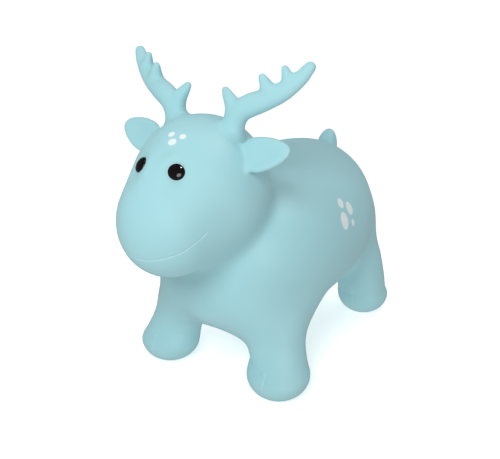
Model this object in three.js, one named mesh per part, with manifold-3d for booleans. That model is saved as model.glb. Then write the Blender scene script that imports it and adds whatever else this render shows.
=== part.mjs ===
import * as THREE from 'three';
import { mergeVertices } from 'three/addons/utils/BufferGeometryUtils.js';
import Module from 'manifold-3d';

// Inflatable ride-on moose for small children, in millimetres
// +Z is up, the nose points along -Y and the animal's left side is +X
// While it is built, y = 0 lies halfway between the front and the rear feet
// Angles are in degrees

// Stance
const WHEELBASE = 294;
const FRONT_TRACK = 192;
const REAR_TRACK = 196;

// Torso: a taut air chamber, rounder in plan than from the side
const TORSO_LENGTH = 403;
const TORSO_WIDTH = 280;
const TORSO_HEIGHT = 240;
const TORSO_AHEAD = 6;
const BELLY_CLEARANCE = 66;
const PLAN_SQUARENESS = 2.4;
const SIDE_SQUARENESS = 3.4;

// Head: a large crown that tapers forward into a round muzzle
const CROWN_RADIUS = 97.6;
const CROWN_AHEAD = 187.5;
const CROWN_HEIGHT = 300;
const MUZZLE_RADIUS = 72.6;
const MUZZLE_REACH = 64.4;
const MUZZLE_DROOP = 17.2;
const HEAD_NARROWING = 0.89;

// Legs: round feet with flat soles, a slight ankle and a full shoulder, splayed out from the torso
const FOOT_HEIGHT = 31;
const FOOT_ROUNDNESS = 35.5;
const INSTEP = 20;
const ANKLE_HEIGHT = 80;
const SHOULDER_HEIGHT = 138;
const LEG_HEIGHT = 192;
const FRONT_FOOT_RADIUS = 45.5;
const FRONT_ANKLE_RADIUS = 40.5;
const FRONT_SHOULDER_RADIUS = 48;
const FRONT_SPLAY_OUT = 13.5;
const FRONT_SPLAY_ALONG = 18.8;
const REAR_FOOT_RADIUS = 42;
const REAR_ANKLE_RADIUS = 41;
const REAR_SHOULDER_RADIUS = 38;
const REAR_SPLAY_OUT = 8.5;
const REAR_SPLAY_ALONG = 9.5;

// Antlers: a beam that rises, sweeps outward and turns up again, with three blunt tines
const ANTLER_SPREAD = 33;
const ANTLER_SETBACK = 5.5;
const ANTLER_SINK = 18;
const ANTLER_REACH = 80.8;
const ANTLER_SWEEP = 36;
const ANTLER_HEIGHT = 79;
const BEAM_RISE = 51;
const BEAM_SWAY = 19;
const BEAM_RUN = 43;
const BEAM_BEND = 10;
const BEAM_LIFT = 18;
const BEAM_ROOT_RADIUS = 14.6;
const BEAM_TIP_RADIUS = 5.8;
const BEAM_TAPER = 3;
const TINE_TIP_RADIUS = 4.4;
const TINES = [
  { along: 0.27, out: -19.6, back: 4.8, up: 26.9 },
  { along: 0.6, out: -9.5, back: -6.9, up: 23.8 },
  { along: 0.79, out: -6.7, back: -2.8, up: 20.2 },
];

// Ears: thick leaves with a dished front and a rounded rim
const EAR_LENGTH = 64;
const EAR_WIDTH = 43;
const EAR_THICKNESS = 17;
const EAR_RIM = 4;
const EAR_DISH = 9.5;
const EAR_SINK = 6;
const EAR_HEIGHT = 36;
const EAR_SQUARENESS = 2.3;
const EAR_AHEAD = 3.5;
const EAR_LEAN = 28;
const EAR_RISE = 13;
const EAR_SWEEP = 11;

// Tail: a blunt nub
const TAIL_RADIUS = 18;
const TAIL_LENGTH = 36;
const TAIL_SINK = 14;
const TAIL_LEAN = 20;
const TAIL_AFT = 179;

// Eyes: domed buttons bonded in shallow seats
const EYE_RADIUS = 9.8;
const EYE_DOME = 5;
const EYE_SEAT = 3;
const EYE_YAW = 19.6;
const EYE_PITCH = 30.3;

// Valve: a ribbed stopper pressed into a socket under the belly
const PLUG_RADIUS = 11;
const PLUG_FLANGE = 3;
const PLUG_BEVEL = 0.8;
const STEM_RADIUS = 5;
const STEM_TIP_RADIUS = 4;
const STEM_LENGTH = 17;
const STEM_RIBS = 3;
const STEM_RIB = 0.7;
const VALVE_AFT = 60;

// Fit of one piece to the next
const GAP = 0.3;

// Facets: round and along the large forms, round the small ones, and along each curved stretch
const LARGE_FACETS = 40;
const LARGE_STEPS = 24;
const LEG_FACETS = 28;
const LEG_STEPS = 3;
const SMALL_FACETS = 24;
const CURVE_STEPS = 4;
const HEAD_STEPS = 6;
const BEAM_FACETS = 14;
const BEAM_STEPS = 18;
const TINE_FACETS = 10;
const TINE_STEPS = 3;
const DOME_TILTS = [30, 60];
const CORNER_MERGE = 1e-4;

const wasm = await Module();
wasm.setup();

const { degToRad, lerp } = THREE.MathUtils;
const vector = (x, y, z) => new THREE.Vector3(x, y, z);

const paint = (color, roughness) => new THREE.MeshStandardMaterial({ color, roughness, metalness: 0 });
const vinyl = () => paint(0x9fd3da, 0.55);
const gloss = () => paint(0x0b0a0c, 0.08);
const stopper = () => paint(0xe9eef0, 0.5);

// A closed geometry as a solid: shared corners merged, collapsed triangles dropped
function solid(geometry) {
  const bare = geometry.clone();
  bare.deleteAttribute('normal');
  bare.deleteAttribute('uv');
  const merged = mergeVertices(bare, CORNER_MERGE);
  const index = merged.index.array;
  const triangles = [];
  for (let i = 0; i < index.length; i += 3) {
    const [a, b, c] = index.slice(i, i + 3);
    if (a !== b && b !== c && c !== a) triangles.push(a, b, c);
  }
  return new wasm.Manifold(new wasm.Mesh({
    numProp: 3,
    vertProperties: new Float32Array(merged.attributes.position.array),
    triVerts: new Uint32Array(triangles),
  }));
}

// A solid as a named mesh; the right-hand one of a pair is the left one mirrored
function piece(name, body, material, across = 1) {
  const { vertProperties, triVerts } = body.getMesh();
  const geometry = new THREE.BufferGeometry();
  geometry.setAttribute('position', new THREE.BufferAttribute(vertProperties, 3));
  geometry.setIndex(new THREE.BufferAttribute(triVerts, 1));
  const mesh = new THREE.Mesh(geometry, material);
  mesh.name = name;
  mesh.scale.x = across;
  return mesh;
}

// Where a straight line from a centre leaves a surface, and which way the surface faces there
function onSurface(geometry, centre, direction) {
  const start = centre.clone().addScaledVector(direction, TORSO_LENGTH);
  const ray = new THREE.Raycaster(start, direction.clone().negate());
  const { point, face } = ray.intersectObject(new THREE.Mesh(geometry))[0];
  return { point, normal: face.normal.clone() };
}

// A turned form with its axis along +Y, stood at a point and aimed along a direction
function aimed(geometry, point, direction) {
  const turn = new THREE.Quaternion().setFromUnitVectors(vector(0, 1, 0), direction);
  return geometry.clone().applyQuaternion(turn).translate(point.x, point.y, point.z);
}

// A plain round plug or hole between two levels on the Y axis
function drum(radius, low, high) {
  const height = high - low;
  return new THREE.CylinderGeometry(radius, radius, height, SMALL_FACETS).translate(0, low + height / 2, 0);
}

// The torso grown all round by an amount
const torsoCentre = vector(0, -TORSO_AHEAD, BELLY_CLEARANCE + TORSO_HEIGHT / 2);

function torsoForm(grow) {
  const geometry = new THREE.SphereGeometry(1, LARGE_FACETS, LARGE_STEPS);
  const position = geometry.attributes.position;
  const bulge = (along, squareness) => (1 - Math.abs(along) ** squareness) ** (1 / squareness);
  for (let i = 0; i < position.count; i++) {
    const along = position.getY(i);
    const around = Math.atan2(position.getZ(i), position.getX(i));
    const halfWidth = (TORSO_WIDTH / 2 + grow) * bulge(along, PLAN_SQUARENESS);
    const halfHeight = (TORSO_HEIGHT / 2 + grow) * bulge(along, SIDE_SQUARENESS);
    const y = (TORSO_LENGTH / 2 + grow) * along;
    position.setXYZ(i, halfWidth * Math.cos(around), y, halfHeight * Math.sin(around));
  }
  return geometry.translate(torsoCentre.x, torsoCentre.y, torsoCentre.z);
}

// The head grown all round by an amount
const crownCentre = vector(0, -CROWN_AHEAD, CROWN_HEIGHT);

function headForm(grow) {
  const crown = CROWN_RADIUS + grow;
  const muzzle = MUZZLE_RADIUS + grow;
  const touch = Math.asin((crown - muzzle) / MUZZLE_REACH);
  const outline = new THREE.Path();
  outline.absarc(0, 0, crown, -Math.PI / 2, touch);
  outline.absarc(0, MUZZLE_REACH, muzzle, touch, Math.PI / 2);
  const geometry = new THREE.LatheGeometry(outline.getPoints(HEAD_STEPS), LARGE_FACETS);
  geometry.scale(HEAD_NARROWING, 1, 1);
  geometry.rotateX(Math.PI + degToRad(MUZZLE_DROOP));
  return geometry.translate(crownCentre.x, crownCentre.y, crownCentre.z);
}

// A direction from the crown's centre, on a head that is narrower than it is tall
function fromCrown(sideways, forward, up) {
  return vector(sideways * HEAD_NARROWING, -forward, up).normalize();
}

// The left leg at the front (along = -1) or at the rear (along = 1)
const frontLeg = {
  along: -1,
  track: FRONT_TRACK,
  foot: FRONT_FOOT_RADIUS,
  ankle: FRONT_ANKLE_RADIUS,
  shoulder: FRONT_SHOULDER_RADIUS,
  out: Math.tan(degToRad(FRONT_SPLAY_OUT)),
  inboard: Math.tan(degToRad(FRONT_SPLAY_ALONG)),
};
const rearLeg = {
  along: 1,
  track: REAR_TRACK,
  foot: REAR_FOOT_RADIUS,
  ankle: REAR_ANKLE_RADIUS,
  shoulder: REAR_SHOULDER_RADIUS,
  out: Math.tan(degToRad(REAR_SPLAY_OUT)),
  inboard: Math.tan(degToRad(REAR_SPLAY_ALONG)),
};

function legForm({ along, track, foot, ankle, shoulder, out, inboard }) {
  const sole = Math.asin(-FOOT_HEIGHT / FOOT_ROUNDNESS);
  const instep = degToRad(INSTEP);
  const outline = new THREE.Path();
  outline.moveTo(0, 0);
  outline.lineTo(foot * Math.cos(sole), 0);
  outline.absellipse(0, FOOT_HEIGHT, foot, FOOT_ROUNDNESS, sole, instep);
  outline.splineThru([
    new THREE.Vector2(ankle, ANKLE_HEIGHT),
    new THREE.Vector2(shoulder, SHOULDER_HEIGHT),
    new THREE.Vector2(0, LEG_HEIGHT),
  ]);
  const geometry = new THREE.LatheGeometry(outline.getPoints(LEG_STEPS), LEG_FACETS);
  geometry.rotateX(Math.PI / 2);
  const position = geometry.attributes.position;
  for (let i = 0; i < position.count; i++) {
    const rise = Math.max(position.getZ(i) - FOOT_HEIGHT, 0);
    position.setX(i, position.getX(i) + track / 2 - rise * out);
    position.setY(i, position.getY(i) + along * (WHEELBASE / 2 - rise * inboard));
  }
  return geometry;
}

// A round limb that tapers along a curve, closed by a flat start and a domed end
function limbForm(curve, radiusAt, steps, sides) {
  const { tangents, normals, binormals } = curve.computeFrenetFrames(steps, false);
  const ring = (centre, radius, frame) => Array.from({ length: sides }, (_, k) => {
    const turn = 2 * Math.PI * k / sides;
    return centre.clone()
      .addScaledVector(normals[frame], radius * Math.cos(turn))
      .addScaledVector(binormals[frame], radius * Math.sin(turn));
  });
  const points = [];
  for (let i = 0; i <= steps; i++) {
    points.push(...ring(curve.getPointAt(i / steps), radiusAt(i / steps), i));
  }
  const end = curve.getPointAt(1);
  const endRadius = radiusAt(1);
  for (const tilt of DOME_TILTS.map(degToRad)) {
    const centre = end.clone().addScaledVector(tangents[steps], endRadius * Math.sin(tilt));
    points.push(...ring(centre, endRadius * Math.cos(tilt), steps));
  }
  const last = points.length - sides;
  const start = points.length;
  const nose = start + 1;
  points.push(curve.getPointAt(0), end.clone().addScaledVector(tangents[steps], endRadius));
  const faces = [];
  for (let k = 0; k < sides; k++) {
    const next = (k + 1) % sides;
    faces.push(start, next, k, nose, last + k, last + next);
    for (let low = 0; low < last; low += sides) {
      const high = low + sides;
      faces.push(low + k, low + next, high + next, low + k, high + next, high + k);
    }
  }
  return new THREE.BufferGeometry().setFromPoints(points).setIndex(faces);
}

// The left antler: a beam and its tines, moulded as one branch
function antlerSolid() {
  const spread = degToRad(ANTLER_SPREAD);
  const setback = degToRad(ANTLER_SETBACK);
  const aim = fromCrown(Math.sin(spread), -Math.sin(setback), Math.cos(spread));
  const root = onSurface(headForm(0), crownCentre, aim).point;
  const from = (x, y, z) => root.clone().add(vector(x, y, z));
  const beam = new THREE.CubicBezierCurve3(
    from(0, 0, -ANTLER_SINK),
    from(-BEAM_SWAY, 0, BEAM_RISE),
    from(BEAM_RUN, BEAM_BEND, BEAM_LIFT),
    from(ANTLER_REACH, ANTLER_SWEEP, ANTLER_HEIGHT),
  );
  const beamRadius = (t) => lerp(BEAM_ROOT_RADIUS, BEAM_TIP_RADIUS, t ** BEAM_TAPER);
  let branch = solid(limbForm(beam, beamRadius, BEAM_STEPS, BEAM_FACETS));
  for (const { along, out, back, up } of TINES) {
    const foot = beam.getPointAt(along);
    const tine = new THREE.LineCurve3(foot, foot.clone().add(vector(out, back, up)));
    const tineRadius = (t) => lerp(beamRadius(along), TINE_TIP_RADIUS, t);
    branch = branch.add(solid(limbForm(tine, tineRadius, TINE_STEPS, TINE_FACETS)));
  }
  return branch;
}

// A flattened leaf with a squared-off round outline, its flat side facing along Y
function leafForm(length, thickness, width) {
  const geometry = new THREE.SphereGeometry(1, SMALL_FACETS, SMALL_FACETS / 2).rotateX(Math.PI / 2);
  const position = geometry.attributes.position;
  for (let i = 0; i < position.count; i++) {
    const x = position.getX(i);
    const z = position.getZ(i);
    const squared = Math.abs(x) ** EAR_SQUARENESS + Math.abs(z) ** EAR_SQUARENESS;
    const fill = squared > 0 ? Math.hypot(x, z) / squared ** (1 / EAR_SQUARENESS) : 1;
    position.setX(i, x * fill);
    position.setZ(i, z * fill);
  }
  return geometry.scale(length / 2, thickness / 2, width / 2);
}

// The left ear: a leaf with its front dished
function earSolid() {
  const leaf = leafForm(EAR_LENGTH, EAR_THICKNESS, EAR_WIDTH);
  const dish = leafForm(EAR_LENGTH - 2 * EAR_RIM, 2 * EAR_DISH, EAR_WIDTH - 2 * EAR_RIM);
  dish.translate(0, -EAR_THICKNESS / 2, 0);
  const height = degToRad(EAR_HEIGHT);
  const ahead = degToRad(EAR_AHEAD);
  const aim = fromCrown(Math.cos(height), Math.sin(ahead), Math.sin(height));
  const root = onSurface(headForm(0), crownCentre, aim).point;
  const place = new THREE.Object3D();
  place.rotation.set(-degToRad(EAR_LEAN), -degToRad(EAR_RISE), degToRad(EAR_SWEEP), 'ZYX');
  place.position.copy(root);
  place.translateX(EAR_LENGTH / 2 - EAR_SINK);
  place.updateMatrix();
  return solid(leaf.applyMatrix4(place.matrix)).subtract(solid(dish.applyMatrix4(place.matrix)));
}

// The tail: a blunt nub that leans back
function tailSolid() {
  const over = vector(0, TAIL_AFT, torsoCentre.z);
  const { point } = onSurface(torsoForm(0), over, vector(0, 0, 1));
  const outline = new THREE.Path();
  outline.moveTo(0, -TAIL_SINK);
  outline.lineTo(TAIL_RADIUS, -TAIL_SINK);
  outline.lineTo(TAIL_RADIUS, 0);
  outline.absellipse(0, 0, TAIL_RADIUS, TAIL_LENGTH, 0, Math.PI / 2);
  const lean = degToRad(TAIL_LEAN);
  const nub = new THREE.LatheGeometry(outline.getPoints(CURVE_STEPS), SMALL_FACETS);
  return solid(aimed(nub, point, vector(0, Math.sin(lean), Math.cos(lean))));
}

// Where an eye sits on the head, on the left (across = 1) or on the right (across = -1)
function eyePlace(across) {
  const yaw = degToRad(EYE_YAW);
  const pitch = degToRad(EYE_PITCH);
  const sideways = across * Math.sin(yaw) * Math.cos(pitch);
  const forward = Math.cos(yaw) * Math.cos(pitch);
  return onSurface(headForm(0), crownCentre, fromCrown(sideways, forward, Math.sin(pitch)));
}

// The left eye: a round button with a domed face
function eyeSolid() {
  const outline = new THREE.Path();
  outline.moveTo(0, -EYE_SEAT);
  outline.lineTo(EYE_RADIUS, -EYE_SEAT);
  outline.lineTo(EYE_RADIUS, 0);
  outline.absellipse(0, 0, EYE_RADIUS, EYE_DOME, 0, Math.PI / 2);
  const button = new THREE.LatheGeometry(outline.getPoints(CURVE_STEPS), SMALL_FACETS);
  const { point, normal } = eyePlace(1);
  return solid(aimed(button, point, normal));
}

// The round seat that holds an eye
function eyeSeat(across) {
  const { point, normal } = eyePlace(across);
  return solid(aimed(drum(EYE_RADIUS + GAP, -EYE_SEAT - GAP, EYE_DOME), point, normal));
}

// The stopper and the socket that it seals, which holds the ribs of its stem
function valveSolids() {
  const over = vector(0, VALVE_AFT, torsoCentre.z);
  const { point } = onSurface(torsoForm(0), over, vector(0, 0, -1));
  const outline = new THREE.Path();
  outline.moveTo(0, 0);
  outline.lineTo(PLUG_RADIUS - PLUG_BEVEL, 0);
  outline.lineTo(PLUG_RADIUS, PLUG_BEVEL);
  outline.lineTo(PLUG_RADIUS, PLUG_FLANGE - PLUG_BEVEL);
  outline.lineTo(PLUG_RADIUS - PLUG_BEVEL, PLUG_FLANGE);
  outline.lineTo(STEM_RADIUS, PLUG_FLANGE);
  const pitch = STEM_LENGTH / (STEM_RIBS + 1);
  const stemRadius = (height) => lerp(STEM_RADIUS, STEM_TIP_RADIUS, height / STEM_LENGTH);
  for (let rib = 0; rib < STEM_RIBS; rib++) {
    const low = rib * pitch + pitch / 2;
    outline.lineTo(stemRadius(low), PLUG_FLANGE + low);
    outline.lineTo(stemRadius(low) + STEM_RIB, PLUG_FLANGE + low);
    outline.lineTo(stemRadius(low + pitch / 2), PLUG_FLANGE + low + pitch / 2);
  }
  outline.lineTo(STEM_TIP_RADIUS, PLUG_FLANGE + STEM_LENGTH);
  outline.lineTo(0, PLUG_FLANGE + STEM_LENGTH);
  const up = vector(0, 0, 1);
  const plug = aimed(new THREE.LatheGeometry(outline.getPoints(), SMALL_FACETS), point, up);
  const recess = aimed(drum(PLUG_RADIUS + GAP, -PLUG_RADIUS, PLUG_FLANGE + GAP), point, up);
  const boreRadius = STEM_RADIUS + STEM_RIB + GAP;
  const bore = aimed(drum(boreRadius, 0, PLUG_FLANGE + STEM_LENGTH + GAP), point, up);
  return { plug: solid(plug), socket: solid(recess).add(solid(bore)) };
}

// Every form is cut by the larger form that carries it
const torsoSeat = solid(torsoForm(GAP));
const headSeat = solid(headForm(GAP));
const eye = eyeSolid();
const antler = antlerSolid().subtract(headSeat);
const ear = earSolid().subtract(headSeat);
const valve = valveSolids();
const torso = solid(torsoForm(0)).subtract(valve.socket);
const head = solid(headForm(0)).subtract(torsoSeat).subtract(eyeSeat(1)).subtract(eyeSeat(-1));

const moose = new THREE.Group();
moose.add(piece('torso', torso, vinyl()));
moose.add(piece('valve_plug', valve.plug, stopper()));
moose.add(piece('head', head, vinyl()));
moose.add(piece('tail', tailSolid().subtract(torsoSeat), vinyl()));

for (const [side, across] of [['left', 1], ['right', -1]]) {
  moose.add(piece(`eye_${side}`, eye, gloss(), across));
  moose.add(piece(`antler_${side}`, antler, vinyl(), across));
  moose.add(piece(`ear_${side}`, ear, vinyl(), across));
  for (const [end, shape] of [['front', frontLeg], ['rear', rearLeg]]) {
    const leg = solid(legForm(shape)).subtract(torsoSeat);
    moose.add(piece(`leg_${end}_${side}`, leg, vinyl(), across));
  }
}

// The origin is on the floor, under the middle of the whole toy
const box = new THREE.Box3().setFromObject(moose);
const middle = box.getCenter(vector(0, 0, 0));
moose.position.set(-middle.x, -middle.y, -box.min.z);

export default moose;
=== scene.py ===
# %% [markdown]
# # An inflatable moose to ride on
#
# The toy is one taut skin of soft vinyl, blown up with air. A child sits on its back and holds the antlers.
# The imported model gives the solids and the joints. This lesson dresses them: the solids that stand for soft
# forms are replaced by one smooth skin, and the antlers, ears and tail grow out of it.

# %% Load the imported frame
from math import asin, atan2, cos, exp, pi, radians, sin, tan

import bmesh
import bpy
from mathutils import Matrix, Vector
from mathutils.bvhtree import BVHTree
from mathutils.geometry import interpolate_bezier
from mathutils.kdtree import KDTree


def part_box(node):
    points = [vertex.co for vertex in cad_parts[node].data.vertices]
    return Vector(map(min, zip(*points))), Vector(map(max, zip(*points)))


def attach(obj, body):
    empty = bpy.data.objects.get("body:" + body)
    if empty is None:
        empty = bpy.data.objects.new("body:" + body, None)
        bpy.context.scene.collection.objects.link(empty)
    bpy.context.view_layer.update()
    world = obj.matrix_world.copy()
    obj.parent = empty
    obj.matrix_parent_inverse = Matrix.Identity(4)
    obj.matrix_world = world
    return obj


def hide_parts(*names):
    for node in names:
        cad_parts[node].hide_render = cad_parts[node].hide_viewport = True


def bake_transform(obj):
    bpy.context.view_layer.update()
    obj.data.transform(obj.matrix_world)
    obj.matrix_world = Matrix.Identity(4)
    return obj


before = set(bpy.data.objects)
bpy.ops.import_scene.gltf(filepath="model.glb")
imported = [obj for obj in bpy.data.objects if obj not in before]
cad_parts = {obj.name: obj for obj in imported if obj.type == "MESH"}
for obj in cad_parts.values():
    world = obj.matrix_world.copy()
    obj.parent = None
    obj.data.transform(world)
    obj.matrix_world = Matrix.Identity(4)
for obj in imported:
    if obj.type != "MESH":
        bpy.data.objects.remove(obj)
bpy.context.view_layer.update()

# %% [markdown]
# ## The camera
#
# A camera is easiest to place by the direction it looks in: how far it is turned from straight ahead, and
# how far it is tipped down. The lens is a little longer than a standard one, as is usual for products.

# %% Camera
CAMERA_PLACE = Vector((0.4894, -0.7913, 0.5886))
CAMERA_TURN = radians(32.01)
CAMERA_DIP = radians(22.67)
LENS_MM = 48.67


def place_camera():
    data = bpy.data.cameras.new("camera")
    data.lens = LENS_MM
    data.sensor_width = 36
    camera = bpy.data.objects.new("camera", data)
    camera.location = CAMERA_PLACE
    camera.rotation_euler = (pi / 2 - CAMERA_DIP, 0, CAMERA_TURN)
    bpy.context.scene.collection.objects.link(camera)
    bpy.context.scene.camera = camera


place_camera()
print("camera", [round(value, 3) for value in CAMERA_PLACE])

# %% [markdown]
# ## Three ways to make a round form
#
# Most forms of the toy are one of three kinds. A rod with round ends is the hull of two balls: the head, the
# antlers and their tines, and the webs at the legs, are such rods. A turned form is a profile that is spun round an
# axis: legs, eyes, tail and stopper. The torso is a ball that is pulled square.

# %% Rods with round ends
def rod(start, start_radius, end, end_radius, facets=48):
    """The hull of two balls."""
    balls = bmesh.new()
    for centre, radius in ((start, start_radius), (end, end_radius)):
        place = Matrix.Translation(centre)
        bmesh.ops.create_uvsphere(balls, u_segments=facets, v_segments=facets // 2, radius=radius, matrix=place)
    form = hull_of([v.co for v in balls.verts])
    balls.free()
    return form


def hull_of(points):
    form = bmesh.new()
    for point in points:
        form.verts.new(point)
    bmesh.ops.convex_hull(form, input=form.verts)
    bmesh.ops.delete(form, geom=[v for v in form.verts if not v.link_faces], context="VERTS")
    bmesh.ops.recalc_face_normals(form, faces=form.faces)
    return form


# %% Turned forms
def smooth_line(points, steps=6):
    """A smooth line through points, with each handle along the chord between its neighbours."""
    points = [Vector(point) for point in points]
    line = []
    for i in range(len(points) - 1):
        before, a, b, after = points[max(i - 1, 0)], points[i], points[i + 1], points[min(i + 2, len(points) - 1)]
        line += interpolate_bezier(a, a + (b - before) / 6, b - (after - a) / 6, b, steps + 1)[:-1]
    return line + [points[-1]]


def turned(profile, facets=64):
    """A profile of radius and height, spun round the Z axis."""
    form = bmesh.new()
    verts = [form.verts.new((radius, 0, height)) for radius, height in profile]
    edges = [form.edges.new(pair) for pair in zip(verts, verts[1:])]
    bmesh.ops.spin(form, geom=verts + edges, axis=(0, 0, 1), cent=(0, 0, 0), angle=2 * pi, steps=facets, use_merge=True)
    bmesh.ops.remove_doubles(form, verts=form.verts, dist=1e-6)
    bmesh.ops.recalc_face_normals(form, faces=form.faces)
    return form


# %% [markdown]
# ## The torso
#
# The torso is an air chamber. It is rounder in plan than from the side, so its outline takes a different power
# in each view: 2 would be an ellipse, and higher powers fill out the corners.

# %% Torso form
PLAN_SQUARENESS = 2.4
SIDE_SQUARENESS = 3.4


def torso_form():
    low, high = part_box("torso")
    middle, half = (low + high) / 2, (high - low) / 2
    form = bmesh.new()
    bmesh.ops.create_uvsphere(form, u_segments=128, v_segments=96, radius=1)
    for v in form.verts:
        along = max(-1, min(1, v.co.z))
        around = atan2(v.co.y, v.co.x)
        wide = (1 - abs(along) ** PLAN_SQUARENESS) ** (1 / PLAN_SQUARENESS)
        tall = (1 - abs(along) ** SIDE_SQUARENESS) ** (1 / SIDE_SQUARENESS)
        reach = Vector((half.x * wide * cos(around), half.y * along, half.z * tall * sin(around)))
        v.co = middle + reach
    bmesh.ops.remove_doubles(form, verts=form.verts, dist=1e-6)
    bmesh.ops.recalc_face_normals(form, faces=form.faces)
    return form


torso = torso_form()
print("torso form", len(torso.verts), "points")

# %% [markdown]
# ## The head
#
# The head is one thick rod: a large ball for the crown and a smaller one for the muzzle, a little narrower
# than it is tall.

# %% Head form
CROWN = Vector((0, -0.1266, 0.300))
CROWN_RADIUS = 0.0976
MUZZLE_RADIUS = 0.0726
MUZZLE_REACH = 0.0644
MUZZLE_DROOP = radians(17.2)
HEAD_NARROWING = 0.89


def head_form():
    muzzle = CROWN + MUZZLE_REACH * Vector((0, -cos(MUZZLE_DROOP), -sin(MUZZLE_DROOP)))
    form = rod(CROWN, CROWN_RADIUS, muzzle, MUZZLE_RADIUS, facets=128)
    bmesh.ops.scale(form, vec=(HEAD_NARROWING, 1, 1), verts=form.verts)
    return form


head = head_form()
print("head form", len(head.verts), "points")

# %% [markdown]
# ## The legs
#
# Each leg is a turned form with a flat sole, a round foot, a slight ankle and a full shoulder. Above the foot
# it leans inwards, so the four feet stand wide apart. The front legs are stouter and lean more than the rear ones,
# and the right legs are the left ones mirrored.

# %% Leg forms
FOOT_HEIGHT, FOOT_ROUNDNESS = 0.031, 0.0355
INSTEP = radians(20)
ANKLE_HEIGHT, SHOULDER_HEIGHT, LEG_HEIGHT = 0.080, 0.138, 0.192
FRONT_LEG = {"place": (0.096, -0.0861), "radii": (0.0455, 0.0405, 0.048), "lean": (13.5, -18.8)}
REAR_LEG = {"place": (0.098, 0.2079), "radii": (0.0432, 0.0422, 0.039), "lean": (8.5, 9.5)}


def leg_profile(foot, ankle, shoulder, steps=12):
    low = asin(-FOOT_HEIGHT / FOOT_ROUNDNESS)
    angles = [low + (INSTEP - low) * i / steps for i in range(steps + 1)]
    round_foot = [(foot * cos(a), FOOT_HEIGHT + FOOT_ROUNDNESS * sin(a)) for a in angles]
    bend = [round_foot[-1], (ankle, ANKLE_HEIGHT), (shoulder, SHOULDER_HEIGHT), (0, LEG_HEIGHT)]
    return [(0, 0), *round_foot[:-1], *((p.x, p.y) for p in smooth_line([Vector(p).to_3d() for p in bend]))]


def leg_form(leg, side):
    aside, along = leg["place"]
    lean_in, lean_back = (tan(radians(angle)) for angle in leg["lean"])
    form = turned(leg_profile(*leg["radii"]))
    for v in form.verts:
        rise = max(v.co.z - FOOT_HEIGHT, 0)
        v.co.x = side * (v.co.x + aside - rise * lean_in)
        v.co.y += along - rise * lean_back
    bmesh.ops.recalc_face_normals(form, faces=form.faces)
    return form


legs = [(leg, side, leg_form(leg, side)) for side in (1, -1) for leg in (FRONT_LEG, REAR_LEG)]
print(len(legs), "leg forms")

# %% [markdown]
# ## Melting the forms into one skin
#
# The real skin is moulded in one piece, so no seam shows where a leg joins the belly. A voxel remesh melts
# overlapping forms into one even net. It leaves a sharp crease at each joint. A point lies near a crease if it is
# close to two forms at once, so the nearer it is to both, the more often it is smoothed: that draws a
# web across the crease, as the blown skin does, and leaves the rest of the form alone. Where the real web is
# thicker than smoothing can make it, a rod from the leg into the torso fills the crease first.

# %% Melt and soften
def together(forms):
    """Several forms as one net."""
    carrier = bpy.data.meshes.new("carrier")
    net = bmesh.new()
    for form in forms:
        form.to_mesh(carrier)
        net.from_mesh(carrier)
    bpy.data.meshes.remove(carrier)
    return net


def melt(forms, voxel):
    """One even net round overlapping closed forms."""
    joined = bpy.data.meshes.new("joined")
    loose = together(forms)
    loose.to_mesh(joined)
    loose.free()
    holder = bpy.data.objects.new("holder", joined)
    bpy.context.scene.collection.objects.link(holder)
    remesh = holder.modifiers.new("melt", "REMESH")
    remesh.mode = "VOXEL"
    remesh.voxel_size = voxel
    net = bmesh.new()
    net.from_object(holder, bpy.context.evaluated_depsgraph_get())
    bpy.data.objects.remove(holder)
    bpy.data.meshes.remove(joined)
    return net


def smooth_passes(net, passes):
    """Smooths each point as many times as passes says for it."""
    for turn in range(max(passes.values(), default=0)):
        verts = [v for v, count in passes.items() if count > turn]
        bmesh.ops.smooth_vert(net, verts=verts, factor=0.5, use_axis_x=True, use_axis_y=True, use_axis_z=True)


def crease_passes(net, form, other, reach, most):
    """How often to smooth each point near the crease between two forms."""
    passes = {}
    for v in net.verts:
        own = form.find_nearest(v.co, reach)[3]
        gap = None if own is None else other.find_nearest(v.co, reach)[3]
        if gap is not None:
            passes[v] = round(most * (1 - max(own, gap) / reach))
    return passes


# %% The body's skin
SKIN_VOXEL = 0.0033
EVEN_PASSES = 2
LEG_CREASE, LEG_PASSES = 0.05, 87
WEB_CREASE, WEB_PASSES = 0.030, 60
NECK_CREASE, NECK_PASSES = 0.040, 56
WEBS = [  # rods from the legs into the torso, each as two places with a radius
    ((0.070, -0.075, 0.099), 0.035, (0.020, -0.080, 0.121), 0.046),
    ((0.083, -0.069, 0.085), 0.041, (0.042, -0.088, 0.148), 0.052),
    ((0.082, -0.045, 0.105), 0.040, (0.078, 0.005, 0.150), 0.050),
    ((0.0846, 0.193, 0.120), 0.039, (0.070, 0.172, 0.185), 0.053),
]

torso_tree, head_tree = BVHTree.FromBMesh(torso), BVHTree.FromBMesh(head)
leg_trees = [BVHTree.FromBMesh(form) for _, _, form in legs]
webs = [rod(Vector((side * a[0], *a[1:])), a_radius, Vector((side * b[0], *b[1:])), b_radius)
        for side in (1, -1) for a, a_radius, b, b_radius in WEBS]

skin = melt([torso, head, *(form for _, _, form in legs), *webs], SKIN_VOXEL)
smooth_passes(skin, dict.fromkeys(skin.verts, EVEN_PASSES))
web_tree = BVHTree.FromBMesh(together(webs))
for leg_tree in leg_trees:
    smooth_passes(skin, crease_passes(skin, leg_tree, torso_tree, LEG_CREASE, LEG_PASSES))
    smooth_passes(skin, crease_passes(skin, leg_tree, web_tree, WEB_CREASE, WEB_PASSES))
smooth_passes(skin, crease_passes(skin, web_tree, torso_tree, WEB_CREASE, WEB_PASSES))
smooth_passes(skin, crease_passes(skin, head_tree, torso_tree, NECK_CREASE, NECK_PASSES))
for v in skin.verts:
    v.co.z = max(v.co.z, 0)
print("skin", len(skin.faces), "faces")

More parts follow.
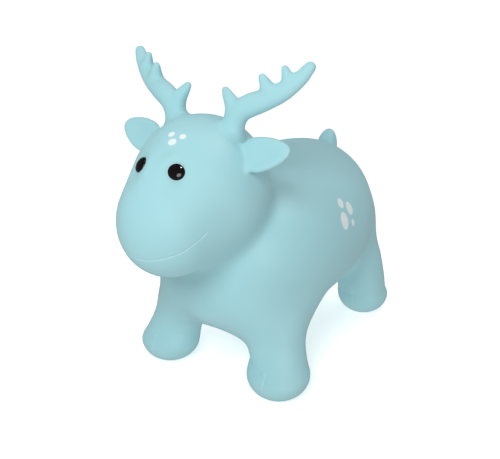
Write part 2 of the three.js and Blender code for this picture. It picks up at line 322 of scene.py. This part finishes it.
# %% [markdown]
# ## Lines moulded into the skin
#
# The smile, the cleft of each hoof and the ring round each eye are shallow grooves. The net is too coarse for them,
# so the edges along each line are divided first. Then the points are pressed in, deepest on the line. The lower
# wall of each groove would catch the light, so a painted highlight follows it: how strong it is at each point goes
# into an attribute, and the finish lightens the colour there. A wider groove without painted highlight makes the
# fold at one ankle, and a negative depth raises a rim round the valve.

# %% Engrave lines
GROOVE_REACH = 4  # how many widths from its line a groove runs out


def dense(points, spacing=0.0005):
    line = []
    for a, b in zip(points, points[1:]):
        count = max(1, round((b - a).length / spacing))
        line += [a.lerp(b, i / count) for i in range(count)]
    return line + [points[-1]]


def engrave(net, line, width, depth, painted_highlight=1.0, fine=4):
    """Presses a groove along a line of points on the skin, and stores how strong the painted highlight along it is."""
    path = KDTree(len(line))
    for i, point in enumerate(line):
        path.insert(point, i)
    path.balance()
    margin = GROOVE_REACH * width
    near = {v for v in net.verts if path.find(v.co)[2] < margin + SKIN_VOXEL}
    edges = [e for e in net.edges if e.verts[0] in near and e.verts[1] in near]
    bmesh.ops.subdivide_edges(net, edges=edges, cuts=fine, use_grid_fill=True)
    net.normal_update()
    # The groove attribute holds the painted highlight: the finish lightens the colour where it is high.
    groove = net.verts.layers.float.get("groove") or net.verts.layers.float.new("groove")
    for v in net.verts:
        away = path.find(v.co)[2]
        if away < margin:
            press = exp(-((away / width) ** 2))
            v.co -= v.normal * depth * press
            v[groove] = max(v[groove], painted_highlight * press)
    return len(edges)


def onto(tree, points, direction):
    """Points carried along a direction until they meet a form."""
    far = 0.3
    return [tree.ray_cast(point - far * direction, direction)[0] for point in points]


# %% The smile
# Half of the smile, as places across the muzzle and up it.
SMILE = [(0, 0.2520), (0.0126, 0.2532), (0.0225, 0.2552), (0.0326, 0.2577), (0.0407, 0.2605), (0.0479, 0.2642),
         (0.0537, 0.2690), (0.0597, 0.2755), (0.0640, 0.2830)]


def smile_line():
    half = [Vector((x, CROWN.y, z)) for x, z in SMILE]
    whole = [Vector((-p.x, p.y, p.z)) for p in reversed(half[1:])] + half
    return onto(head_tree, dense(smooth_line(whole)), Vector((0, 1, 0)))


print("smile:", engrave(skin, smile_line(), width=0.0008, depth=0.0007), "edges divided")

# %% Seats for the eyes
EYE = Vector((0.0261, -0.2091, 0.3511))
EYE_FACING = Vector((0.49, -0.66, 0.57)).normalized()
EYE_RADIUS = 0.0101
EYE_GAP = 0.0007
EYE_SEAT = (0.011, 0.034)


def seat(net, centre, axis, inner, outer):
    """Flattens the skin round a place, fully inside the inner radius and not at all beyond the outer one."""
    for v in net.verts:
        offset = v.co - centre
        if offset.length < outer:
            share = max(0, min(1, (outer - offset.length) / (outer - inner)))
            v.co -= axis * offset.dot(axis) * share * share * (3 - 2 * share)


def ring(centre, axis, radius, steps=72):
    """A closed ring of points round an axis."""
    turn = axis.to_track_quat("Z", "Y")
    angles = [2 * pi * step / steps for step in range(steps + 1)]
    return dense([centre + turn @ Vector((radius * cos(a), radius * sin(a), 0)) for a in angles])


for side in (1, -1):
    mirror = Vector((side, 1, 1))
    seat(skin, EYE * mirror, EYE_FACING * mirror, *EYE_SEAT)
    engrave(skin, ring(EYE * mirror, EYE_FACING * mirror, EYE_RADIUS + EYE_GAP), width=0.0008, depth=0.0007)
print("eye seats", [round(value * 1000) for value in EYE_SEAT], "mm")

# %% Hooves
CLEFT_HEIGHTS = (0.006, 0.018, 0.030, 0.041, 0.051)

for leg_tree, (leg, side, _) in zip(leg_trees, legs):
    aside, along = leg["place"]
    cleft = [Vector((side * aside, along, z)) for z in CLEFT_HEIGHTS]
    # The clefts get a weaker painted highlight than the other grooves.
    engrave(skin, onto(leg_tree, dense(smooth_line(cleft)), Vector((0, 1, 0))), width=0.0010, depth=0.0008, painted_highlight=0.6)
print(len(legs), "clefts")

# %% A crease at one ankle, and the rim of the valve
ANKLE_SHIFT = (-0.008, 0.011)  # from the middle of the sole to that of the ankle
CREASE_HEIGHT = 0.054
CREASE_ARC = (radians(165), radians(266))
CREASE_SLOPE = 0.12
VALVE = Vector((0, 0.1209, 0.0669))
VALVE_RIM = 0.0145


def ankle_crease(steps=12):
    """Where the blown skin folds, part of the way round the left front ankle."""
    first, last = CREASE_ARC
    angles = [first + (last - first) * step / steps for step in range(steps + 1)]
    aside, along = (place + shift for place, shift in zip(FRONT_LEG["place"], ANKLE_SHIFT))
    outwards = [Vector((cos(a), sin(a), CREASE_SLOPE * sin(a))) for a in angles]
    return dense([leg_trees[0].ray_cast(Vector((aside, along, CREASE_HEIGHT)), way)[0] for way in outwards])


engrave(skin, ankle_crease(), width=0.0046, depth=0.0022, painted_highlight=0, fine=1)
engrave(skin, ring(VALVE, Vector((0, 0, 1)), VALVE_RIM), width=0.0018, depth=-0.0010)
print("skin with its lines", len(skin.faces), "faces")

# %% [markdown]
# ## The valve's socket
#
# The stopper sits flush in a round recess under the belly, and its stem goes into a bore. Both are cut from the
# skin with a turned cutter and a Boolean modifier, which is applied at once.

# %% Body skin as an object, with the socket cut
# Radius and height above the valve's mouth, as in every turned profile.
RECESS = [(0, -0.004), (0.0113, -0.004), (0.0113, 0.0033), (0.006, 0.0033), (0.006, 0.0203), (0, 0.0203)]


def finished(name, net):
    """A net as an object at the origin, with smooth shading."""
    mesh = bpy.data.meshes.new(name)
    net.to_mesh(mesh)
    net.free()
    mesh.shade_smooth()
    piece = bpy.data.objects.new(name, mesh)
    bpy.context.scene.collection.objects.link(piece)
    return piece


def cut(piece, cutter_net):
    cutter = finished("cutter", cutter_net)
    boolean = piece.modifiers.new("cut", "BOOLEAN")
    boolean.operation = "DIFFERENCE"
    boolean.object = cutter
    evaluated = piece.evaluated_get(bpy.context.evaluated_depsgraph_get())
    mesh = bpy.data.meshes.new_from_object(evaluated)
    piece.modifiers.clear()
    piece.data = mesh
    bpy.data.objects.remove(cutter)


body_skin = finished("body_skin", skin)
socket = turned(RECESS, facets=48)
bmesh.ops.translate(socket, verts=socket.verts, vec=VALVE)
cut(body_skin, socket)
print("body skin", sum(len(face.vertices) - 2 for face in body_skin.data.polygons), "triangles")

# %% [markdown]
# ## Limbs that grow out of the skin
#
# Antlers, ears and tail bend on joints of their own, so each is a piece of its own. To make it look moulded on, it is
# melted together with a patch of the form that carries it and the crease is softened. Then only the limb and a thin
# skirt round its root are kept, and the skirt's rim is tucked just under the body's skin.

# %% Grow a limb
TUCK, TUCK_START = 0.0004, 0.5
PATCH_RADIUS = 0.08
LIMB_PASSES = 3
SKIRT_REACH, SKIRT_HEIGHT, SKIRT_DEPTH = 1.3, 0.003, 0.002


def grow(forms, creases, carrier, carrier_tree, root, reach, voxel):
    """Melts a limb with a patch of its carrier, and keeps the limb with a skirt."""
    patch = hull_of([v.co for v in carrier.verts if (v.co - root).length < PATCH_RADIUS])
    net = melt([*forms, patch], voxel)
    smooth_passes(net, dict.fromkeys(net.verts, LIMB_PASSES))
    limb_tree = BVHTree.FromBMesh(together(forms))
    for form_tree, other_tree, width, most in creases:
        smooth_passes(net, crease_passes(net, form_tree, other_tree, width, most))
    far = []
    for v in net.verts:
        away = limb_tree.find_nearest(v.co)[3]
        place, normal, _, _ = carrier_tree.find_nearest(v.co)
        height = (v.co - place).dot(normal)
        if away > SKIRT_REACH * reach or height < -SKIRT_DEPTH:
            far.append(v)
        elif height < SKIRT_HEIGHT:
            v.co -= normal * TUCK * max(0, min(1, (away / reach - TUCK_START) / (1 - TUCK_START)))
    bmesh.ops.delete(net, geom=far, context="VERTS")
    return net


def mirrored(net):
    other = net.copy()
    bmesh.ops.scale(other, vec=(-1, 1, 1), verts=other.verts)
    bmesh.ops.reverse_faces(other, faces=other.faces)
    return other


# %% [markdown]
# ## The antlers
#
# Each beam rises from the crown, sweeps outwards and turns up again. One curve with two handles gives that line, and
# a chain of rods follows it. Three blunt tines stand on it.

# %% Antlers
ANTLER_ROOT = Vector((0.0471, -0.1173, 0.3815))
BEAM = [ANTLER_ROOT + Vector(step) for step in (
    (0, 0, -0.018), (-0.019, 0, 0.051), (0.043, 0.010, 0.018), (0.0808, 0.036, 0.079))]
BEAM_RADII = (0.0148, 0.0068)
BEAM_TAPER = 3  # the power that keeps the beam stout for most of its length
TINE_TIP = 0.0046
TINES = [(0.27, (-0.0196, 0.0048, 0.0269)), (0.60, (-0.0095, -0.0069, 0.0238)), (0.79, (-0.0067, -0.0028, 0.0202))]
ANTLER_VOXEL = 0.0015
ROOT_CREASE, ROOT_PASSES = 0.028, 170
TINE_CREASE, TINE_PASSES = 0.010, 26


def antler_forms(steps=64, stride=4, facets=32):
    line = interpolate_bezier(*BEAM, steps + 1)
    spans = [(b - a).length for a, b in zip(line, line[1:])]
    shares = [sum(spans[:i]) / sum(spans) for i in range(len(line))]
    radius = [BEAM_RADII[0] + (BEAM_RADII[1] - BEAM_RADII[0]) * share ** BEAM_TAPER for share in shares]
    ends = [(i, i + stride) for i in range(0, steps, stride)]
    beam = [rod(line[a], radius[a], line[b], radius[b], facets) for a, b in ends]
    tines = []
    for share, step in TINES:
        i = min(range(steps + 1), key=lambda i: abs(shares[i] - share))
        tines.append(rod(line[i], radius[i], line[i] + Vector(step), TINE_TIP, facets))
    return beam, tines


def antler_net():
    beam, tines = antler_forms()
    beam_tree = BVHTree.FromBMesh(together(beam))
    creases = [(BVHTree.FromBMesh(tine), beam_tree, TINE_CREASE, TINE_PASSES) for tine in tines]
    creases.append((beam_tree, head_tree, ROOT_CREASE, ROOT_PASSES))
    return grow(beam + tines, creases, head, head_tree, ANTLER_ROOT, ROOT_CREASE, ANTLER_VOXEL)


antler = antler_net()
antler_right = finished("antler_skin_right", mirrored(antler))
antler_left = finished("antler_skin_left", antler)
print("antler", len(antler_left.data.polygons), "faces")

# %% [markdown]
# ## The ears
#
# An ear is a thick leaf with a dished front, narrower towards its tip. It starts as a ball that is pressed flat, and
# its front is then pushed in. The dish runs out into the head, so the ear's root has no rim.

# %% Ears
EAR_ROOT = Vector((0.0701, -0.1326, 0.3573))
EAR_SIZE = Vector((0.074, 0.016, 0.043))
EAR_SINK = 0.015
EAR_DISH, EAR_DISH_POWER = 0.0080, 1.5
EAR_RIM = 0.92
EAR_RUN_OUT = 3  # how much longer the dish is towards the root
EAR_TAPER = 0.2
EAR_TURNS = (radians(-28), radians(-13), radians(11))
EAR_CREASE, EAR_PASSES = 0.012, 50
SMALL_VOXEL = 0.0013


def ear_place():
    lean, rise, sweep = EAR_TURNS
    turn = Matrix.Rotation(sweep, 4, "Z") @ Matrix.Rotation(rise, 4, "Y") @ Matrix.Rotation(lean, 4, "X")
    return Matrix.Translation(EAR_ROOT) @ turn @ Matrix.Translation((EAR_SIZE.x / 2 - EAR_SINK, 0, 0))


def ear_form():
    form = bmesh.new()
    bmesh.ops.create_uvsphere(form, u_segments=96, v_segments=64, radius=1, matrix=Matrix.Rotation(pi / 2, 4, "X"))
    for v in form.verts:
        x, y, z = v.co
        edge = Vector((x if x > 0 else x / EAR_RUN_OUT, z)).length
        press = EAR_DISH * max(0, 1 - (edge / EAR_RIM) ** 2) ** EAR_DISH_POWER if y < 0 else 0
        v.co = Vector((x * EAR_SIZE.x, y * EAR_SIZE.y, z * (1 - EAR_TAPER * x) * EAR_SIZE.z)) / 2
        v.co.y += press
    bmesh.ops.transform(form, matrix=ear_place(), verts=form.verts)
    bmesh.ops.recalc_face_normals(form, faces=form.faces)
    return form


ear_leaf = ear_form()
ear_crease = (BVHTree.FromBMesh(ear_leaf), head_tree, EAR_CREASE, EAR_PASSES)
ear = grow([ear_leaf], [ear_crease], head, head_tree, EAR_ROOT, EAR_CREASE, SMALL_VOXEL)
ear_right = finished("ear_skin_right", mirrored(ear))
ear_left = finished("ear_skin_left", ear)
print("ear", len(ear_left.data.polygons), "faces")

# %% [markdown]
# ## The tail
#
# The tail is a blunt nub, half an egg on a short stem. A turned form gives it, and it grows out of the rump as
# the other limbs do out of the head.

# %% Tail
TAIL_ROOT = Vector((0, 0.2399, 0.266))
TAIL_LEAN = radians(20)
TAIL_RADIUS, TAIL_RISE, TAIL_SINK = 0.018, 0.036, 0.014
TAIL_CREASE, TAIL_PASSES = 0.011, 36


def dome(radius, height, steps):
    """A quarter of an ellipse, from its rim to its pole."""
    angles = [step * pi / 2 / steps for step in range(1, steps)]
    return [(radius * cos(a), height * sin(a)) for a in angles] + [(0, height)]


tail_nub = turned([(0, -TAIL_SINK), (TAIL_RADIUS, -TAIL_SINK), (TAIL_RADIUS, 0), *dome(TAIL_RADIUS, TAIL_RISE, 16)])
tail_place = Matrix.Translation(TAIL_ROOT) @ Matrix.Rotation(-TAIL_LEAN, 4, "X")
bmesh.ops.transform(tail_nub, matrix=tail_place, verts=tail_nub.verts)
tail_crease = (BVHTree.FromBMesh(tail_nub), torso_tree, TAIL_CREASE, TAIL_PASSES)
tail = grow([tail_nub], [tail_crease], torso, torso_tree, TAIL_ROOT, TAIL_CREASE, SMALL_VOXEL)
tail_skin = finished("tail_skin", tail)
print("tail", len(tail_skin.data.polygons), "faces")

# %% [markdown]
# ## The eyes
#
# Each eye is a hard black button with a domed face, set into its flat seat. A ball would bulge too far, so a low
# dome is turned instead, with a short wall that goes below the skin.

# %% Eyes
EYE_DOME, EYE_WALL, EYE_BEVEL = 0.005, 0.003, 0.0004
EYE_PROFILE = [(0, -EYE_WALL), (EYE_RADIUS - EYE_BEVEL, -EYE_WALL), (EYE_RADIUS, EYE_BEVEL - EYE_WALL), (EYE_RADIUS, 0),
               *dome(EYE_RADIUS, EYE_DOME, 24)]


def eye_button(side):
    button = turned(EYE_PROFILE, facets=72)
    mirror = Vector((side, 1, 1))
    place = Matrix.Translation(EYE * mirror) @ (EYE_FACING * mirror).to_track_quat("Z", "Y").to_matrix().to_4x4()
    bmesh.ops.transform(button, matrix=place, verts=button.verts)
    return button


eye_left = finished("eye_button_left", eye_button(1))
eye_right = finished("eye_button_right", eye_button(-1))
print("eyes", round(2000 * EYE_RADIUS, 1), "mm across")

# %% [markdown]
# ## The stopper
#
# The stopper is pushed into the valve to keep the air in. It has a flat head with a shallow dish for the
# thumb, and a stem with three ribs that grip the bore, each a little thinner than the one before. All of it
# is round, so one profile is turned.

# %% Stopper
PLUG_HEAD = [(0, 0.0006), (0.0062, 0.0006), (0.0070, 0), (0.0102, 0), (0.0110, 0.0008), (0.0110, 0.0022),
             (0.0102, 0.003), (0.005, 0.003)]
PLUG_TIP = [(0.004, 0.0196), (0.0036, 0.02), (0, 0.02)]
RIBS, RIB_PITCH, RIB_LENGTH, RIB_TAPER = 3, 0.00425, 0.0021, 0.00025
FIRST_RIB = 0.005125
STEM_RADIUS, RIB_RADIUS, RIB_FOOT = 0.0049, 0.0056, 0.0048


def rib_profile(rib):
    low, thinner = FIRST_RIB + RIB_PITCH * rib, RIB_TAPER * rib
    return [(STEM_RADIUS - thinner, low), (RIB_RADIUS - thinner, low), (RIB_FOOT - thinner, low + RIB_LENGTH)]


ribs = [point for rib in range(RIBS) for point in rib_profile(rib)]
plug_net = turned(PLUG_HEAD + ribs + PLUG_TIP, facets=48)
bmesh.ops.translate(plug_net, verts=plug_net.verts, vec=VALVE)
plug = finished("stopper", plug_net)
print("stopper", len(plug.data.polygons), "faces")

# %% [markdown]
# ## The finishes
#
# Soft vinyl is satin, a little cloudy in colour and covered with a fine grain from the mould. One group makes that
# for every piece of skin, and it also paints a highlight along the moulded grooves, where their walls would catch
# the light. A second group draws one painted spot, so that the paw marks need no picture. Should the skin bend
# with its joints, a pattern on plain coordinates would slide over it. So each point keeps its resting place as an
# attribute, and the patterns are drawn on that.

# %% Node helpers
def socket_of(group, name, kind, direction, value=None):
    made = group.interface.new_socket(name=name, in_out=direction, socket_type=kind)
    if value is not None:
        made.default_value = value


class Board:
    """A node tree that is filled by short calls."""

    def __init__(self, tree):
        self.tree = tree
        self.column = 0

    def add(self, kind, settings=None, **inputs):
        node = self.tree.nodes.new(kind)
        node.location = (self.column * 180, 0)
        self.column += 1
        for name, value in (settings or {}).items():
            setattr(node, name, value)
        for name, value in inputs.items():
            self.put(node.inputs[name.replace("_", " ")], value)
        return node

    def put(self, target, value):
        if isinstance(value, bpy.types.NodeSocket):
            self.tree.links.new(value, target)
        else:
            target.default_value = value

    def sum(self, operation, *values):
        node = self.add("ShaderNodeMath", {"operation": operation})
        for target, value in zip(node.inputs, values):
            self.put(target, value)
        return node.outputs[0]

    def ramp(self, value, low, high, to_low, to_high, kind="LINEAR"):
        node = self.add("ShaderNodeMapRange", {"interpolation_type": kind})
        names = ("Value", "From Min", "From Max", "To Min", "To Max")
        for name, number in zip(names, (value, low, high, to_low, to_high)):
            self.put(node.inputs[name], number)
        return node.outputs["Result"]

    def mix(self, factor, a, b, blend="MIX"):
        """Mixes two colours. The node has sockets for other kinds too, so its colour ones are found by number."""
        node = self.add("ShaderNodeMix", {"data_type": "RGBA", "blend_type": blend})
        self.put(node.inputs[0], factor)
        self.put(node.inputs[6], a)
        self.put(node.inputs[7], b)
        return node.outputs[2]

    def noise(self, position, scale, detail=2.0):
        node = self.add("ShaderNodeTexNoise", Scale=scale, Detail=detail)
        self.put(node.inputs["Vector"], position)
        return node.outputs["Fac"]


# %% Vinyl group
def vinyl_group():
    group = bpy.data.node_groups.new("soft_vinyl", "ShaderNodeTree")
    socket_of(group, "Colour", "NodeSocketColor", "INPUT", (0.4, 0.72, 0.77, 1))
    socket_of(group, "Groove", "NodeSocketFloat", "INPUT", 0.0)
    socket_of(group, "Position", "NodeSocketVector", "INPUT")
    socket_of(group, "Colour", "NodeSocketColor", "OUTPUT")
    socket_of(group, "Roughness", "NodeSocketFloat", "OUTPUT")
    socket_of(group, "Height", "NodeSocketFloat", "OUTPUT")
    board = Board(group)
    given = board.add("NodeGroupInput")
    place = given.outputs["Position"]
    cloud = board.ramp(board.noise(place, 7.0, 3.0), 0.3, 0.7, 0.0, 1.0)
    speck = board.noise(place, 420.0, 3.0)
    grain = board.noise(place, 1500.0, 2.0)
    shade = board.mix(cloud, (0.965, 0.975, 0.98, 1), (1.02, 1.01, 1.005, 1))
    tinted = board.mix(1.0, given.outputs["Colour"], shade, "MULTIPLY")
    # Painted highlight along the grooves: the colour is lightened there, as if their walls caught the light.
    groove_highlit = board.mix(board.sum("MULTIPLY", given.outputs["Groove"], 0.5), tinted, (0.58, 0.86, 0.90, 1))
    rough = board.sum("ADD", board.ramp(cloud, 0.0, 1.0, 0.52, 0.6), board.ramp(speck, 0.3, 0.7, -0.03, 0.03))
    height = board.sum("ADD", board.sum("MULTIPLY", grain, 0.6), board.sum("MULTIPLY", speck, 0.4))
    out = board.add("NodeGroupOutput")
    board.put(out.inputs["Colour"], groove_highlit)
    board.put(out.inputs["Roughness"], rough)
    board.put(out.inputs["Height"], height)
    return group


VINYL = vinyl_group()
print(VINYL.name, len(VINYL.nodes), "nodes")

# %% Painted spot group
def spot_group():
    group = bpy.data.node_groups.new("painted_spot", "ShaderNodeTree")
    socket_of(group, "Position", "NodeSocketVector", "INPUT")
    socket_of(group, "Centre", "NodeSocketVector", "INPUT")
    socket_of(group, "Turn", "NodeSocketVector", "INPUT")
    socket_of(group, "Half size", "NodeSocketVector", "INPUT")
    socket_of(group, "Mask", "NodeSocketFloat", "OUTPUT")
    board = Board(group)
    given = board.add("NodeGroupInput").outputs
    mapping = board.add("ShaderNodeMapping", {"vector_type": "TEXTURE"}, Vector=given["Position"],
                        Location=given["Centre"], Rotation=given["Turn"], Scale=given["Half size"])
    length = board.add("ShaderNodeVectorMath", {"operation": "LENGTH"})
    board.put(length.inputs[0], mapping.outputs["Vector"])
    out = board.add("NodeGroupOutput")
    board.put(out.inputs["Mask"], board.ramp(length.outputs["Value"], 0.95, 1.04, 1.0, 0.0, "SMOOTHSTEP"))
    return group


SPOT = spot_group()
print(SPOT.name, len(SPOT.nodes), "nodes")

# %% Where the paint goes
PAINT_WHITE = (0.82, 0.90, 0.92, 1)
SPOTS = [  # centre, outward direction, turn round it, half width, half height
    ((-0.0049, -0.1762, 0.3836), (-0.087, -0.436, 0.896), 0, 0.0044, 0.0042),
    ((0.0114, -0.1758, 0.3831), (0.087, -0.436, 0.896), 0, 0.0042, 0.0042),
    ((0.0028, -0.1851, 0.3775), (0.084, -0.576, 0.813), 0, 0.0054, 0.0051),
]
FLANK_SPOTS = [
    ((0.1179, 0.0475, 0.2500), (0.813, 0, 0.582), 58, 0.0080, 0.0064),
    ((0.1254, 0.0633, 0.2388), (0.9, 0, 0.435), 80, 0.0101, 0.0078),
    ((0.1301, 0.0377, 0.2287), (0.9, 0, 0.435), 74, 0.0130, 0.0096),
    ((0.1340, 0.0591, 0.2199), (0.963, 0, 0.27), 76, 0.0055, 0.0042),
]
SPOT_DEPTH = 0.02


def spot_mask(board, place, spot):
    centre, facing, turn, wide, tall = spot
    facing = Vector(facing).normalized()
    aside = Vector((0, 0, 1)).cross(facing).normalized()
    frame_turn = Matrix((aside, facing.cross(aside), facing)).transposed() @ Matrix.Rotation(radians(turn), 3, "Z")
    node = board.add("ShaderNodeGroup", {"node_tree": SPOT}, Position=place, Centre=centre,
                     Turn=tuple(frame_turn.to_euler()), Half_size=(wide, tall, SPOT_DEPTH))
    return node.outputs["Mask"]


print(len(SPOTS), "spots on the forehead,", len(FLANK_SPOTS), "on each flank")

# %% Vinyl, plain and painted
VINYL_COLOUR = (0.385, 0.705, 0.76, 1)


def new_material(name):
    material = bpy.data.materials.new(name)
    material.use_nodes = True
    board = Board(material.node_tree)
    shader = material.node_tree.nodes["Principled BSDF"]
    return material, board, shader


def vinyl_material(name, painted):
    material, board, shader = new_material(name)
    # The groove attribute says how strong the painted highlight along the grooves is.
    groove = board.add("ShaderNodeAttribute", {"attribute_name": "groove"}).outputs["Fac"]
    place = board.add("ShaderNodeAttribute", {"attribute_name": "resting_place"}).outputs["Vector"]
    vinyl = board.add("ShaderNodeGroup", {"node_tree": VINYL}, Colour=VINYL_COLOUR, Groove=groove,
                      Position=place).outputs
    colour = vinyl["Colour"]
    if painted:
        part = board.add("ShaderNodeSeparateXYZ", Vector=place).outputs
        folded = board.add("ShaderNodeCombineXYZ", X=board.sum("ABSOLUTE", part["X"]), Y=part["Y"], Z=part["Z"])
        masks = [spot_mask(board, place, spot) for spot in SPOTS]
        masks += [spot_mask(board, folded.outputs["Vector"], spot) for spot in FLANK_SPOTS]
        mask = masks[0]
        for other in masks[1:]:
            mask = board.sum("MAXIMUM", mask, other)
        colour = board.mix(mask, colour, PAINT_WHITE)
    bump = board.add("ShaderNodeBump", Strength=0.12, Distance=0.0004, Height=vinyl["Height"])
    board.put(shader.inputs["Base Color"], colour)
    board.put(shader.inputs["Roughness"], vinyl["Roughness"])
    board.put(shader.inputs["Normal"], bump.outputs["Normal"])
    shader.inputs["Sheen Weight"].default_value = 0.08
    return material


PAINTED_VINYL = vinyl_material("painted_vinyl", True)
PLAIN_VINYL = vinyl_material("plain_vinyl", False)
print("vinyl:", PAINTED_VINYL.name, "and", PLAIN_VINYL.name)

# %% Eyes and stopper
def eye_material():
    material, board, shader = new_material("black_gloss")
    place = board.add("ShaderNodeTexCoord").outputs["Object"]
    haze = board.noise(place, 300.0, 3.0)
    board.put(shader.inputs["Base Color"], board.mix(haze, (0.004, 0.003, 0.004, 1), (0.012, 0.008, 0.009, 1)))
    board.put(shader.inputs["Roughness"], board.ramp(haze, 0.3, 0.7, 0.05, 0.1))
    shader.inputs["IOR"].default_value = 1.45
    return material


def stopper_material():
    material, board, shader = new_material("milky_plastic")
    place = board.add("ShaderNodeTexCoord").outputs["Object"]
    cloud = board.noise(place, 160.0, 3.0)
    board.put(shader.inputs["Base Color"], board.mix(cloud, (0.72, 0.78, 0.8, 1), (0.84, 0.87, 0.88, 1)))
    board.put(shader.inputs["Roughness"], board.ramp(cloud, 0.3, 0.7, 0.38, 0.5))
    bump = board.add("ShaderNodeBump", Strength=0.1, Distance=0.0003, Height=board.noise(place, 2200.0))
    board.put(shader.inputs["Normal"], bump.outputs["Normal"])
    return material


BLACK_GLOSS = eye_material()
MILKY_PLASTIC = stopper_material()
print("hard plastics:", BLACK_GLOSS.name, "and", MILKY_PLASTIC.name)

# %% [markdown]
# ## Bodies and joints
#
# Each hard piece follows the body it belongs to: the eyes and the stopper hang from an empty for that body and
# simply ride along. The skin pieces keep their resting places.

# %% Dress, attach and name every piece
def dress(piece, material, slot, *nodes):
    resting_place = piece.data.attributes.new("resting_place", "FLOAT_VECTOR", "POINT")
    resting_place.data.foreach_set("vector", [value for v in piece.data.vertices for value in v.co])
    piece.data.materials.clear()
    piece.data.materials.append(material)
    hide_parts(*nodes)
    print(piece.name, "stands for", ", ".join(nodes))


dress(body_skin, PAINTED_VINYL, "skin", "torso", "head", "leg_front_left", "leg_front_right",
      "leg_rear_left", "leg_rear_right")
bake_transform(body_skin)
for side, antler_piece, ear_piece, eye_piece in (
        ("left", antler_left, ear_left, eye_left), ("right", antler_right, ear_right, eye_right)):
    mirror = Vector((1 if side == "left" else -1, 1, 1))
    dress(antler_piece, PLAIN_VINYL, "skin", f"antler_{side}")
    dress(ear_piece, PLAIN_VINYL, "skin", f"ear_{side}")
    dress(eye_piece, BLACK_GLOSS, "eye_gloss", f"eye_{side}")
    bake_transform(antler_piece)
    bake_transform(ear_piece)
    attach(eye_piece, "torso")
dress(tail_skin, PLAIN_VINYL, "skin", "tail")
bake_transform(tail_skin)
dress(plug, MILKY_PLASTIC, "stopper", "valve_plug")
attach(plug, "valve_plug")

# %% [markdown]
# ## Floor and light
#
# A wide pale floor and soft lights keep the shadows faint, as in a catalogue picture. The main lamp stands close to
# the head, so the light falls off towards the rump. So white a floor would light the underside too much, so it is
# left out of the light that pieces throw on one another, and the sky below it gives the softer glow instead.
#
# The black eyes are mirrors, and a picture of a whole studio in them would look grey. So lamp and daylight leave no
# reflection, and two small lights do nothing else: a bright point high up, and a soft window low on the right. The
# sky is dimmer in reflections too, and plain white where the camera looks straight at it.

# %% Floor
FLOOR_SIZE = 40


def studio_floor():
    net = bmesh.new()
    bmesh.ops.create_grid(net, x_segments=1, y_segments=1, size=FLOOR_SIZE / 2)
    floor = finished("floor", net)
    material, board, shader = new_material("pale_floor")
    place = board.add("ShaderNodeTexCoord").outputs["Object"]
    pale = board.mix(board.noise(place, 2.0), (0.93, 0.93, 0.93, 1), (0.95, 0.95, 0.95, 1))
    board.put(shader.inputs["Base Color"], pale)
    shader.inputs["Roughness"].default_value = 0.9
    shader.inputs["Emission Color"].default_value = (1, 1, 1, 1)
    shader.inputs["Emission Strength"].default_value = 0.5
    floor.data.materials.append(material)
    floor.visible_diffuse = floor.visible_glossy = False


studio_floor()
print("floor", FLOOR_SIZE, "m wide")

# %% Sky
SKY_HEIGHTS, SKY_STRENGTHS = (-0.3, 0.6), (0.82, 0.23)
SKY_IN_MIRRORS = 0.25


def studio_sky():
    world = bpy.data.worlds.new("studio")
    world.use_nodes = True
    board = Board(world.node_tree)
    sky = world.node_tree.nodes["Background"]
    facing = board.add("ShaderNodeTexCoord").outputs["Generated"]
    height = board.add("ShaderNodeSeparateXYZ", Vector=facing).outputs["Z"]
    ray = board.add("ShaderNodeLightPath").outputs
    softer = board.ramp(ray["Is Glossy Ray"], 0, 1, 1, SKY_IN_MIRRORS)
    glow = board.sum("MULTIPLY", board.ramp(height, *SKY_HEIGHTS, *SKY_STRENGTHS), softer)
    board.put(sky.inputs["Strength"], board.sum("MAXIMUM", glow, ray["Is Camera Ray"]))
    sky.inputs["Color"].default_value = (1, 1, 1, 1)
    bpy.context.scene.world = world
    bpy.context.scene.view_settings.view_transform = "Standard"


studio_sky()
print("sky from", SKY_STRENGTHS[0], "below to", SKY_STRENGTHS[1], "above")

# %% Lamps
def far_light(name, source, spread, strength, diffuse, glossy):
    """Light from far away, as even as daylight, from a disc as wide as spread."""
    data = bpy.data.lights.new(name, "SUN")
    data.angle = radians(spread)
    data.energy = strength
    light = bpy.data.objects.new(name, data)
    light.rotation_euler = Vector(source).to_track_quat("Z", "Y").to_euler()
    light.visible_diffuse, light.visible_glossy = diffuse, glossy
    bpy.context.scene.collection.objects.link(light)


def near_light(name, place, aim, size, watts):
    """A round lamp near the toy, so what is further from it is darker."""
    data = bpy.data.lights.new(name, "AREA")
    data.shape = "DISK"
    data.size = size
    data.energy = watts
    light = bpy.data.objects.new(name, data)
    light.location = place
    light.rotation_euler = (Vector(place) - Vector(aim)).to_track_quat("Z", "Y").to_euler()
    light.visible_glossy = False
    bpy.context.scene.collection.objects.link(light)


near_light("key", place=(0.36, -1.20, 1.17), aim=(0, -0.15, 0.28), size=0.6, watts=11.3)
far_light("top", source=(-0.2, 0.4, 1), spread=60, strength=1.02, diffuse=True, glossy=False)
far_light("glint", source=(0.40, 0.35, 0.85), spread=8, strength=1.3, diffuse=False, glossy=True)
far_light("window", source=(0.80, -0.54, 0.24), spread=36, strength=1.6, diffuse=False, glossy=True)
print("lights:", ", ".join(light.name for light in bpy.data.lights))
